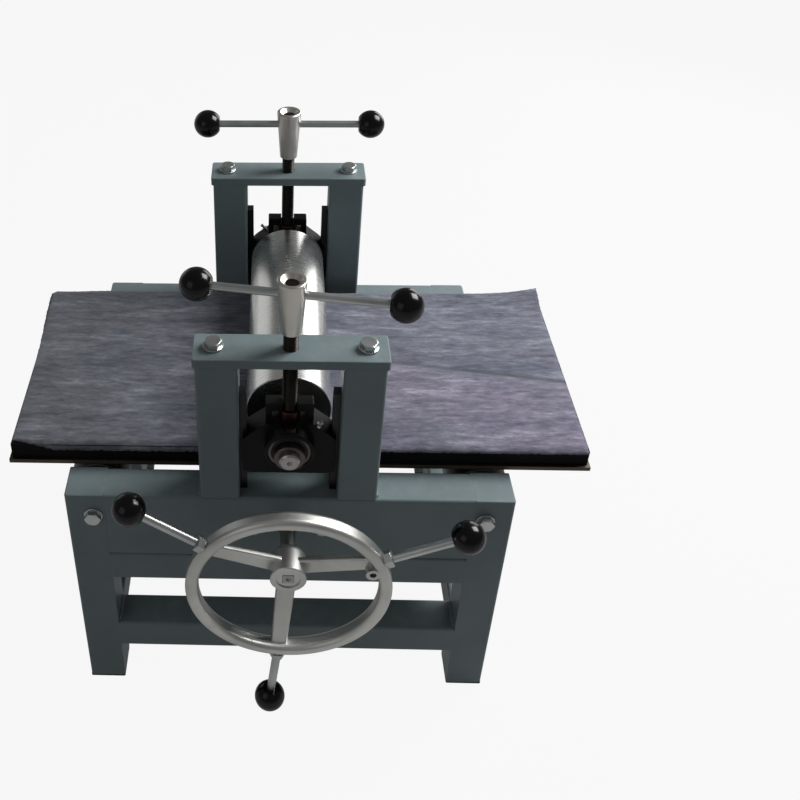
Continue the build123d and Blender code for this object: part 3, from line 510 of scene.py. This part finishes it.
class PRESS_OT_bearings(PressOperator, bpy.types.Operator):
    """Finish the bearing housings and rings, and fit the seals between the rings."""

    bl_idname = "press.bearings"
    bl_label = "Bearings"

    def build(self):
        base = tuple(self.colours.black)
        iron = Finish("black_casting", Specular_IOR_Level=0.16)
        sand = iron.noise(330.0, detail=4.0, roughness=0.7)
        worn = iron.edge(0.0010) * iron.noise(70.0).smooth(0.5, 0.66) * 0.3
        tone = iron.mix(sand.smooth(0.3, 0.8), shade(base, 0.7), shade(base, 1.6))
        tone = iron.mix(worn, tone, WORN_IRON)
        finish = iron.finished(0.0010, sand, 0.35, 0.0003, Base_Color=tone, Roughness=sand * 0.25 + 0.38)
        paint_slot(finish, "black_iron")
        ring = brushed("bearing_steel", RING_STEEL, 0.34, EVEN, contrast=0.15, warm=0.4)
        paint_slot(ring, "bearing_steel")
        bronze = brushed("dull_bronze", BRONZE, 0.42, (1.0, 1.0, 0.05), contrast=0.2, warm=0.4)
        paint_slot(bronze, "bronze")
        nipples = brushed("nipple_zinc", NIPPLE_ZINC, 0.3, EVEN)
        paint_nodes(nipples, "grease_nipples")
        rubber = Finish("seal_rubber", Base_Color=RUBBER)
        grain = rubber.noise(700.0)
        rubber_finish = rubber.finished(0.0, grain, 0.15, 0.0001, Roughness=grain * 0.2 + 0.5)
        self.seals("upper", "carriage", rubber_finish, inner=0.0192, outer=0.0227)
        self.seals("lower", "frame", rubber_finish, inner=0.0148, outer=0.0200)

    def seals(self, which, body, finish, inner, outer):
        """Ring seals: a dished band from the inner to the outer radius, turned about the shaft's axis."""
        low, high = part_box(f"{which}_bearing_outer_rings")
        x, z = (low.x + high.x) / 2, (low.z + high.z) / 2
        sink = self.sizes.seal_sink
        middle = (inner + outer) / 2
        band = [
            (inner, -sink), (inner + 0.0004, -0.0003), (middle - 0.0006, 0.0), (middle, -0.0004),
            (middle + 0.0006, 0.0), (outer - 0.0004, 0.0001), (outer, -sink), (inner, -sink),
        ]
        proud = 0.0006
        profile = [(r, h + proud) for r, h in band]
        faces = ((low.y, -1.0), (high.y, 1.0))
        surfaces = [spun(profile, (x, y, z), (0.0, way, 0.0)) for y, way in faces]
        make_piece(f"{which}_bearing_seals", surfaces, body, finish)


class PRESS_OT_screws(PressOperator, bpy.types.Operator):
    """Cut the threads of the pressure screws and finish their heads."""

    bl_idname = "press.screws"
    bl_label = "Pressure screws"

    def build(self):
        dark = brushed("oiled_thread", THREAD_STEEL, 0.36, (1.0, 1.0, 0.1), contrast=0.3, warm=0.3)
        for end in ENDS:
            self.thread(f"{end}_screw", dark)
        head = brushed("turned_head", HEAD_STEEL, 0.34, AROUND_Z, contrast=0.12, scale=0.6, warm=0.35)
        paint_slot(head, "head_steel")

    def thread(self, node, finish):
        """Right-hand thread between a pin and a top end: r(t, z) = R - d |2 frac(z / p - t / 2 pi) - 1|."""
        segments, rows_per_turn, steepness, crest, runout = 40, 8, 1.35, 0.12, 0.8
        chamfer, pin, pin_lift, top, top_reach = 0.0012, 0.0059, 0.0005, 0.0078, 0.010
        low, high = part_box(node)
        centre = (low + high) / 2
        radius = (high.x - low.x) / 2
        pitch, depth = self.sizes.thread_pitch, self.sizes.thread_depth
        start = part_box(f"{node}_button")[1].z + 0.0001
        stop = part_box(f"{node}_head")[0].z + top_reach
        rows = int((stop - start) / (pitch / rows_per_turn))
        t = np.arange(segments) * TAU / segments
        z = np.linspace(start, stop, rows)
        phase = (z[None, :] / pitch - t[:, None] / TAU) % 1.0
        wave = np.clip(np.abs(2 * phase - 1) * steepness - crest, 0.0, 1.0)
        fade = np.clip(np.minimum(z - start, stop - z) / (pitch * runout), 0.0, 1.0)
        r = radius - depth * wave * fade[None, :]
        r = np.minimum(r, radius - chamfer * (1 - np.clip((z - start) / chamfer, 0, 1))[None, :])
        collar = np.array([(0.0, low.z + pin_lift), (pin, low.z + pin_lift), (pin, start)])
        end = np.array([(top, stop), (top, high.z), (0.0, high.z)])
        below, above = (np.tile(ends[:, 0], (segments, 1)) for ends in (collar, end))
        r = np.concatenate([below, r, above], axis=1)
        heights = np.concatenate([collar[:, 1], z, end[:, 1]])
        x = centre.x + r * np.cos(t)[:, None]
        y = centre.y + r * np.sin(t)[:, None]
        points = np.stack([x, y, np.broadcast_to(heights, r.shape)], axis=-1)
        surface = lattice(points, close_u=True)
        make_piece(f"{node}_thread", [surface], node, finish, (node,), angle=70.0)


class PRESS_OT_bed(PressOperator, bpy.types.Operator):
    """Finish the bed's steel plate and board."""

    bl_idname = "press.bed"
    bl_label = "Bed"

    def build(self):
        plate = brushed("bed_steel", BED_STEEL, 0.50, (0.05, 1.0, 1.0), contrast=0.25, warm=0.7)
        paint_nodes(plate, "bed_plate")
        board = Finish("board_plastic", Specular_IOR_Level=0.12)
        grain = board.noise(240.0, (0.1, 1.0, 1.0), detail=5.0)
        tone = board.mix(grain.smooth(0.35, 0.75), (0.0018, 0.0018, 0.0022), (0.006, 0.0055, 0.005))
        finish = board.finished(0.0006, grain, 0.2, 0.0002, Base_Color=tone, Roughness=grain * 0.2 + 0.62)
        paint_nodes(finish, "bed_board")


class PRESS_OT_felt(PressOperator, bpy.types.Operator):
    """Lay the felt blanket on the bed."""

    bl_idname = "press.felt"
    bl_label = "Felt blanket"

    def build(self):
        low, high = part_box("felt_blanket")
        felt = self.cloth(low, high)
        piece = make_piece("felt_sheet", [felt], "bed", self.finish(), ("felt_blanket",), angle=60.0)

    def cloth(self, low, high):
        """Closed felt slab: the top is z1 + waves(x, y), the bottom z0 + lift(x, y), with a worn outline."""
        nu, nv, width = 248, 116, 0.332
        close_rows = np.array([0.0, 0.7, 1.4, 2.1, 2.8, 3.6, 4.8, 6.4]) * MM
        rows = np.concatenate([close_rows, np.linspace(0.0085, width, nv - len(close_rows))])
        u, v = np.meshgrid(np.linspace(0, 1, nu), rows / width, indexing="ij")
        i, j = np.meshgrid(np.arange(nu), np.arange(nv), indexing="ij")
        x = low.x + u * (high.x - low.x)
        line = x[:, 0]
        post_low, post_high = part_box("post_front_right")
        middle = (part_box("post_front_left")[0].x + post_high.x) / 2
        beside = smooth_step((np.abs(line - middle) - (post_low.x - middle) - 0.012) / 0.026)
        corner = np.clip((low.x + 0.055 - line) / 0.055, 0, 1)
        front = low.y - 0.0042 * beside + 0.007 * corner**1.5 + 0.0005 * waves(line * 1000, (37, 11, 5), 3)
        rear_x, rear_y = [-370, -290, -120, 60, 160, 320, 370], [-4, 0, 0, -1, 0, 1, 0]
        rear = high.y + np.interp(line * 1000, rear_x, rear_y) * MM
        rear = rear + 0.0006 * waves(line * 1000, (41, 13, 6), 4)
        y = front[:, None] + v * (rear - front)[:, None]
        x = x + (2 * u - 1) ** 9 * 0.0008 * waves(y[0] * 1000, (33, 12, 6), 5)[None, :]
        reach_left = np.clip((-0.30 - x) / 0.07, 0, 1) * smooth_step((v - 0.25) / 0.75)
        x = x - 0.009 * reach_left**2
        flat_x, flat_reach, fade = -0.0115, 0.235, 0.06
        far = smooth_step((np.abs(x - flat_x) - flat_reach) / fade)
        fuzz = 0.00009 * waves(x * 1000 + 7 * y * 1000, (9, 4.3, 2.9), 6)
        fuzz = fuzz + 0.00008 * waves(y * 1000, (7, 3.1), 7)
        wave = self.sizes.felt_wave * far * (waves2(x, y, 8) * 0.5 + 0.5)
        reach = np.clip((x - 0.285) / 0.085, 0, 1)
        deep = np.clip((y - 0.125) / 0.075, 0, 1)
        curl = self.sizes.felt_curl * (reach**2 * deep**2)
        ahead = from_crease(x, y)
        crease = np.exp(-((ahead / 0.0035) ** 2)) - 0.55 * np.exp(-(((ahead - 0.008) / 0.005) ** 2))
        along = np.clip((x - 0.10) / 0.05, 0, 1)
        lift = (wave * 0.8 + curl) * smooth_step((y - low.y) / 0.03)
        board_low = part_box("bed_board")[0]
        hang = self.sizes.felt_hang * beside * (1 + 1.1 * (line < 0)) * (1 - 0.6 * corner)
        sag = hang[:, None] * np.clip((board_low.y + 0.006 - y) / 0.0085, 0, 1) ** 1.7
        over = hang[:, None] * np.clip((board_low.y - y) / 0.0022, 0, 1)
        tip = 0.004 * np.clip((board_low.x - x) / 0.007, 0, 1)
        top = high.z + lift + fuzz - 0.0011 * crease * along - sag - tip
        top = np.where(far > 0, top, np.minimum(top, high.z + 0.00022))
        bottom = low.z + lift - over - tip
        edge = np.minimum(np.minimum(i, nu - 1 - i), np.minimum(j * 0.5, nv - 1 - j))
        rim = 0.0011 * (1 - np.clip(edge, 0, 2) / 2) ** 2
        upper = np.stack([x, y, top - rim], axis=-1)
        lower = np.stack([x, y, np.minimum(bottom + rim, top - rim - 0.0005)], axis=-1)
        return slab(upper, lower)

    def finish(self):
        """Pressed grey felt with streaks along the bed, lilac in front of the crease at the right, painted
        shade towards the left end, and a painted shadow and highlight along the crease.
        """
        felt = Finish("pressed_felt", Specular_IOR_Level=0.1, Sheen_Weight=0.25, Sheen_Roughness=0.6)
        base, lilac = tuple(self.colours.felt), tuple(self.colours.felt_lilac)
        x, y = felt.axis("X"), felt.axis("Y")
        line = from_crease(x, y)
        warm = (line.smooth(-0.02, 0.03) * x.smooth(0.0, 0.12) + 0.15) * felt.noise(9.0).smooth(0.25, 0.6)
        tone = felt.mix(warm, base, lilac)
        # Painted shade: the felt grows darker towards its left end, where less light falls.
        tone = felt.mix(x.smooth(-0.42, 0.30), felt.mix(1.0, tone, (0.70, 0.72, 0.66), "MULTIPLY"), tone)
        streaks = felt.noise(52.0, (0.20, 1.0, 1.0), detail=7.0, roughness=0.75)
        tone = felt.tinted(streaks.smooth(0.50, 0.66) * 0.9, tone, (1.75, 1.78, 1.7))
        tone = felt.tinted((1 - streaks.smooth(0.34, 0.50)) * 0.9, tone, (0.50, 0.50, 0.55))
        blots = felt.noise(21.0, (0.45, 1.0, 1.0), detail=4.0)
        tone = felt.tinted(blots.smooth(0.48, 0.66) * 0.6, tone, (0.66, 0.74, 0.80))
        mottle = felt.noise(150.0, (0.30, 1.0, 1.0), detail=5.0, roughness=0.7)
        tone = felt.tinted(mottle.smooth(0.48, 0.62) * 0.8, tone, (1.5, 1.45, 1.45))
        tone = felt.tinted((1 - mottle.smooth(0.36, 0.48)) * 0.7, tone, (0.6, 0.6, 0.62))
        # Painted shadow: the felt is darkened in the crease's valley at the right.
        shadow = (1 - (abs(line) / 0.008).smooth(0.0, 1.0)) * x.smooth(0.08, 0.16)
        tone = felt.mix(shadow * 0.75, tone, shade(base, 0.5))
        # Painted highlight: a pale lilac line on the ridge just in front of the crease.
        light = (1 - (abs(line - 0.012) / 0.004).smooth(0.0, 1.0)) * x.smooth(0.06, 0.1)
        tone = felt.mix(light * 0.4, tone, shade(lilac, 1.5))
        fibres = felt.noise(420.0, (0.35, 1.0, 1.0), detail=5.0, roughness=0.8)
        tone = felt.tinted(fibres.smooth(0.35, 0.7) * 0.35, tone, (1.35, 1.35, 1.35))
        height = fibres * 0.5 + streaks * 0.8 + mottle * 0.4
        return felt.finished(0.0, height, 0.55, 0.0009, Base_Color=tone, Roughness=fibres * 0.1 + 0.88)


class PRESS_OT_handwheel(PressOperator, bpy.types.Operator):
    """Finish the cast handwheel."""

    bl_idname = "press.handwheel"
    bl_label = "Handwheel"

    def build(self):
        base = tuple(self.colours.aluminium)
        cast = Finish("cast_aluminium", Metallic=1.0)
        grain = cast.noise(520.0, detail=5.0, roughness=0.7)
        clouds = cast.noise(11.0, detail=4.0)
        grey = cast.mix(clouds.smooth(0.3, 0.7), shade(base, 0.85), shade(base, 1.1))
        marks = cast.noise(60.0, detail=6.0).smooth(0.58, 0.78) * 0.3
        tone = cast.mix(marks, grey, OXIDE)
        rough = grain * 0.18 + clouds * 0.14 + 0.24
        finish = cast.finished(0.0008, grain, 0.18, 0.0001, Base_Color=tone, Roughness=rough)
        paint_nodes(finish, "handwheel")


class PRESS_OT_knobs(PressOperator, bpy.types.Operator):
    """Finish the ball knobs."""

    bl_idname = "press.knobs"
    bl_label = "Knobs"

    def build(self):
        knob = Finish("knob_plastic", Specular_IOR_Level=0.28)
        scuffs = knob.noise(70.0, (1.0, 0.4, 1.0), detail=6.0)
        tone = knob.mix(scuffs.smooth(0.6, 0.8) * 0.4, (0.0012, 0.0012, 0.0014), (0.005, 0.005, 0.005))
        finish = knob.finished(0.0, None, Base_Color=tone, Roughness=scuffs * 0.14 + 0.10)
        paint_slot(finish, "knob_plastic")


class PRESS_OT_stage(PressOperator, bpy.types.Operator):
    """Lay the floor and set the light and the camera."""

    bl_idname = "press.stage"
    bl_label = "Stage"

    def build(self):
        stage = bpy.context.scene.press_stage
        self.floor()
        self.lamp("key_light", stage.key, size=1.1, place=(1.45, 0.55, 2.0), target=(0.0, 0.05, 0.35))
        self.lamp("fill_light", stage.fill, size=1.4, place=(-1.5, -1.6, 1.5), target=(0.0, 0.0, 0.35))
        self.lamp("window", stage.window, size=1.2, place=(1.25, 1.9, 0.95), target=(0.0, 0.0, 0.45))
        self.lamp("side_window", stage.side_window, size=1.2, place=(-1.5, 1.7, 0.8), target=(0.0, 0.0, 0.45))
        self.world(stage.world)
        self.camera()
        bpy.context.scene.view_settings.view_transform = "Standard"

    def floor(self):
        """Square floor that looks white to the camera and grey to the light it bounces."""
        half, reflected = 6.0, 0.30
        corners = [(-half, -half, 0), (half, -half, 0), (half, half, 0), (-half, half, 0)]
        mesh = bpy.data.meshes.new("floor")
        mesh.from_pydata(corners, [], [(0, 1, 2, 3)])
        floor = bpy.data.objects.new("floor", mesh)
        bpy.context.scene.collection.objects.link(floor)
        grey = tuple(self.colours.floor)
        pale = Finish("pale_floor", Base_Color=grey, Roughness=1.0, Specular_IOR_Level=0.0)
        rays = pale.node("ShaderNodeLightPath", output="Is Camera Ray")
        glossy = pale.node("ShaderNodeLightPath", output="Is Glossy Ray")
        through = pale.node("ShaderNodeLightPath", output="Is Transmission Ray")
        share = (rays + through) * WHITE_SHARE + glossy * reflected
        white = pale.node("ShaderNodeEmission", None, {"Color": (1.0, 1.0, 1.0), "Strength": 1.0})
        out = pale.tree.nodes["Material Output"]
        surface = Value(pale, pale.shader.outputs[0])
        mixed = pale.node("ShaderNodeMixShader", None, {0: share, 1: surface, 2: white})
        pale.tree.links.new(mixed.socket, out.inputs["Surface"])
        mesh.materials.append(pale.material)

    def lamp(self, name, power, size, place, target):
        """Square lamp that faces a target."""
        data = bpy.data.lights.new(name, "AREA")
        data.energy, data.size = power, size
        lamp = bpy.data.objects.new(name, data)
        lamp.location = place
        lamp.rotation_mode = "QUATERNION"
        lamp.rotation_quaternion = (Vector(target) - Vector(place)).to_track_quat("-Z", "Y")
        bpy.context.scene.collection.objects.link(lamp)

    def world(self, strength):
        """Even white surroundings that look brighter to the camera than they shine."""
        world = bpy.data.worlds.new("soft_room")
        world.use_nodes = True
        nodes, links = world.node_tree.nodes, world.node_tree.links
        background = nodes["Background"]
        background.inputs["Color"].default_value = (1.0, 1.0, 1.0, 1.0)
        rays = nodes.new("ShaderNodeLightPath")
        bright = nodes.new("ShaderNodeMapRange")
        bright.inputs["To Min"].default_value = strength
        bright.inputs["To Max"].default_value = WHITE_SHARE
        links.new(rays.outputs["Is Camera Ray"], bright.inputs["Value"])
        links.new(bright.outputs[0], background.inputs["Strength"])
        bpy.context.scene.world = world

    def camera(self):
        """Camera fitted to the corners of the base and the end frames in the photograph."""
        data = bpy.data.cameras.new("camera")
        data.sensor_width = 36.0
        data.lens = 46.03
        data.shift_x, data.shift_y = 0.2029, -0.1759
        camera = bpy.data.objects.new("camera", data)
        place = (-0.03141, -1.08375, 1.35883)
        pitch, yaw, roll = np.radians((34.36, -2.48, 0.98))
        forward = np.array((np.sin(yaw) * np.cos(pitch), np.cos(yaw) * np.cos(pitch), -np.sin(pitch)))
        level = np.array((np.cos(yaw), -np.sin(yaw), 0.0))
        below = np.cross(forward, level)
        right = np.cos(roll) * level + np.sin(roll) * below
        down = -np.sin(roll) * level + np.cos(roll) * below
        turn = Matrix(np.column_stack([right, -down, -forward]).tolist()).to_4x4()
        camera.matrix_world = Matrix.Translation(place) @ turn
        bpy.context.scene.collection.objects.link(camera)
        bpy.context.scene.camera = camera


OPERATORS = (
    PRESS_OT_frame, PRESS_OT_fasteners, PRESS_OT_rollers, PRESS_OT_bearings, PRESS_OT_screws,
    PRESS_OT_bed, PRESS_OT_felt, PRESS_OT_handwheel, PRESS_OT_knobs, PRESS_OT_stage,
)


class PRESS_PT_panel(bpy.types.Panel):
    """Sidebar panel with the sizes, the colours and the pieces."""

    bl_label = "Roller Press"
    bl_idname = "PRESS_PT_panel"
    bl_space_type = "VIEW_3D"
    bl_region_type = "UI"
    bl_category = "Press"

    def draw(self, context):
        scene = context.scene
        for group in (scene.press_sizes, scene.press_colours, scene.press_stage):
            box = self.layout.box()
            for name in group.__annotations__:
                box.prop(group, name)
        for operator in OPERATORS:
            self.layout.operator(operator.bl_idname)


GROUPS = {"press_sizes": PressSizes, "press_colours": PressColours, "press_stage": PressStage}
CLASSES = (*GROUPS.values(), *OPERATORS, PRESS_PT_panel)


def register():
    """Register the classes and hang the property groups on the scene."""
    for cls in CLASSES:
        bpy.utils.register_class(cls)
    for name, group in GROUPS.items():
        setattr(bpy.types.Scene, name, PointerProperty(type=group))


def unregister():
    """Take everything back out."""
    for name in GROUPS:
        delattr(bpy.types.Scene, name)
    for cls in reversed(CLASSES):
        bpy.utils.unregister_class(cls)


def main():
    """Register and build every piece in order."""
    register()
    bpy.ops.press.frame()
    bpy.ops.press.fasteners()
    bpy.ops.press.rollers()
    bpy.ops.press.bearings()
    bpy.ops.press.screws()
    bpy.ops.press.bed()
    bpy.ops.press.felt()
    bpy.ops.press.handwheel()
    bpy.ops.press.knobs()
    bpy.ops.press.stage()
    bpy.context.view_layer.update()


if __name__ == "__main__":
    main()
